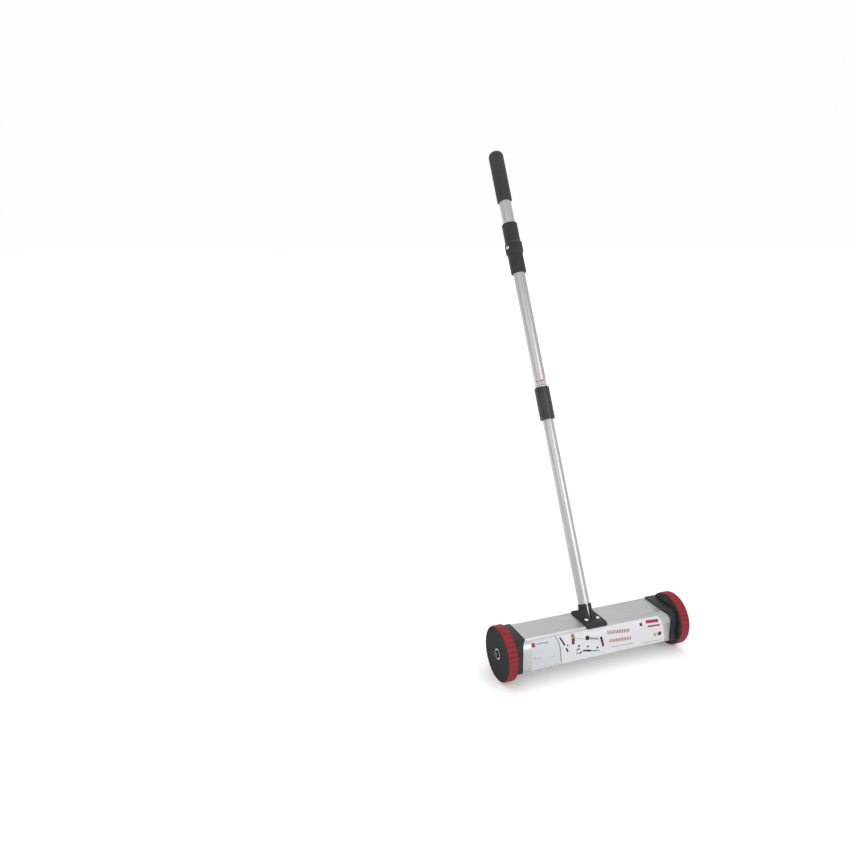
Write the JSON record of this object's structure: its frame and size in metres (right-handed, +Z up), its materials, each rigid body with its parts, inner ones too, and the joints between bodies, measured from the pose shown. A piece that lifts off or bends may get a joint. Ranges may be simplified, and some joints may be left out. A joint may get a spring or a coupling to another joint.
{
  "type": "magnetic floor sweeper",
  "caption": "Push-along magnetic floor sweeper: wide aluminium magnet housing on two red-tyred wheels, with a leaning telescopic handle.",
  "frame": {"origin": "on the floor, under the middle of the object's bounding box", "axes": "+X towards the right wheel, along the axles; +Y to the back, the way the handle leans; +Z up"},
  "size_m": [0.392, 0.504, 0.9542],
  "materials": {
    "anodised_aluminium": "satin anodised extrusion",
    "polished_tube": "bright drawn tube",
    "zinc_steel": "zinc plated",
    "black_plastic": "fine moulded texture",
    "gloss_black_plastic": "smooth gloss",
    "black_rubber": "matt rubber",
    "red_tyre": "ribbed red rubber",
    "ferrite": "dull dark grey sintered block",
    "nylon": "plain natural nylon"
  },
  "bodies": {
    "chassis": {"housing_shell": "anodised_aluminium", "magnet_cover": "anodised_aluminium", "keeper_channel": "zinc_steel", "magnet_front_left": "ferrite", "magnet_front_middle": "ferrite", "magnet_front_right": "ferrite", "magnet_rear_left": "ferrite", "magnet_rear_middle": "ferrite", "magnet_rear_right": "ferrite", "cover_screw_front_left": "zinc_steel", "cover_screw_front_right": "zinc_steel", "cover_screw_rear_left": "zinc_steel", "cover_screw_rear_right": "zinc_steel", "end_cap_left": "black_plastic", "axle_plate_left": "zinc_steel", "cap_screw_left_front": "zinc_steel", "cap_screw_left_rear": "zinc_steel", "axle_bolt_left": "zinc_steel", "inner_washer_left": "zinc_steel", "outer_washer_left": "zinc_steel", "axle_nut_left": "zinc_steel", "bracket_screw_left": "zinc_steel", "bracket_nut_left": "zinc_steel", "end_cap_right": "black_plastic", "axle_plate_right": "zinc_steel", "cap_screw_right_front": "zinc_steel", "cap_screw_right_rear": "zinc_steel", "axle_bolt_right": "zinc_steel", "inner_washer_right": "zinc_steel", "outer_washer_right": "zinc_steel", "axle_nut_right": "zinc_steel", "bracket_screw_right": "zinc_steel", "bracket_nut_right": "zinc_steel", "handle_bracket": "black_plastic", "backing_plate": "zinc_steel", "socket_screw": "zinc_steel", "lower_tube": "polished_tube", "tube_guide": "nylon"},
    "left_wheel": {"hub_left": "black_plastic", "hub_back_left": "black_plastic", "tyre_left": "red_tyre", "bush_left": "nylon"},
    "right_wheel": {"hub_right": "black_plastic", "hub_back_right": "black_plastic", "tyre_right": "red_tyre", "bush_right": "nylon"},
    "handle_upper": {"middle_tube": "polished_tube", "upper_tube": "polished_tube", "coupling_spigot": "zinc_steel", "upper_collar": "black_plastic", "grip": "black_rubber", "lock_collet": "nylon", "button_spring": "zinc_steel"},
    "lock_sleeve": {"lock_sleeve": "gloss_black_plastic"},
    "spring_button": {"spring_button": "zinc_steel"}
  },
  "joints": [
    {"name": "left_wheel_spin", "type": "hinge", "parent": "chassis", "child": "left_wheel", "pos_m": [-0.183, -0.20126, 0.05071], "axis": [1, 0, 0], "continuous": true},
    {"name": "right_wheel_spin", "type": "hinge", "parent": "chassis", "child": "right_wheel", "pos_m": [0.183, -0.20126, 0.05071], "axis": [1, 0, 0], "continuous": true},
    {"name": "handle_slide", "type": "slide", "parent": "chassis", "child": "handle_upper", "axis": [0, 0.4462, 0.8949], "range_m": [-0.165, 0.08]},
    {"name": "lock_twist", "type": "hinge", "parent": "handle_upper", "child": "lock_sleeve", "pos_m": [0, -0.00335, 0.45879], "axis": [0, 0.4462, 0.8949], "range_deg": [0, 90]},
    {"name": "button_press", "type": "slide", "parent": "handle_upper", "child": "spring_button", "axis": [0.9397, 0.3061, -0.1526], "range_m": [0, 0.003], "stiffness_N_per_m": 500, "springref_m": -0.002, "deforming": ["button_spring"]}
  ]
}
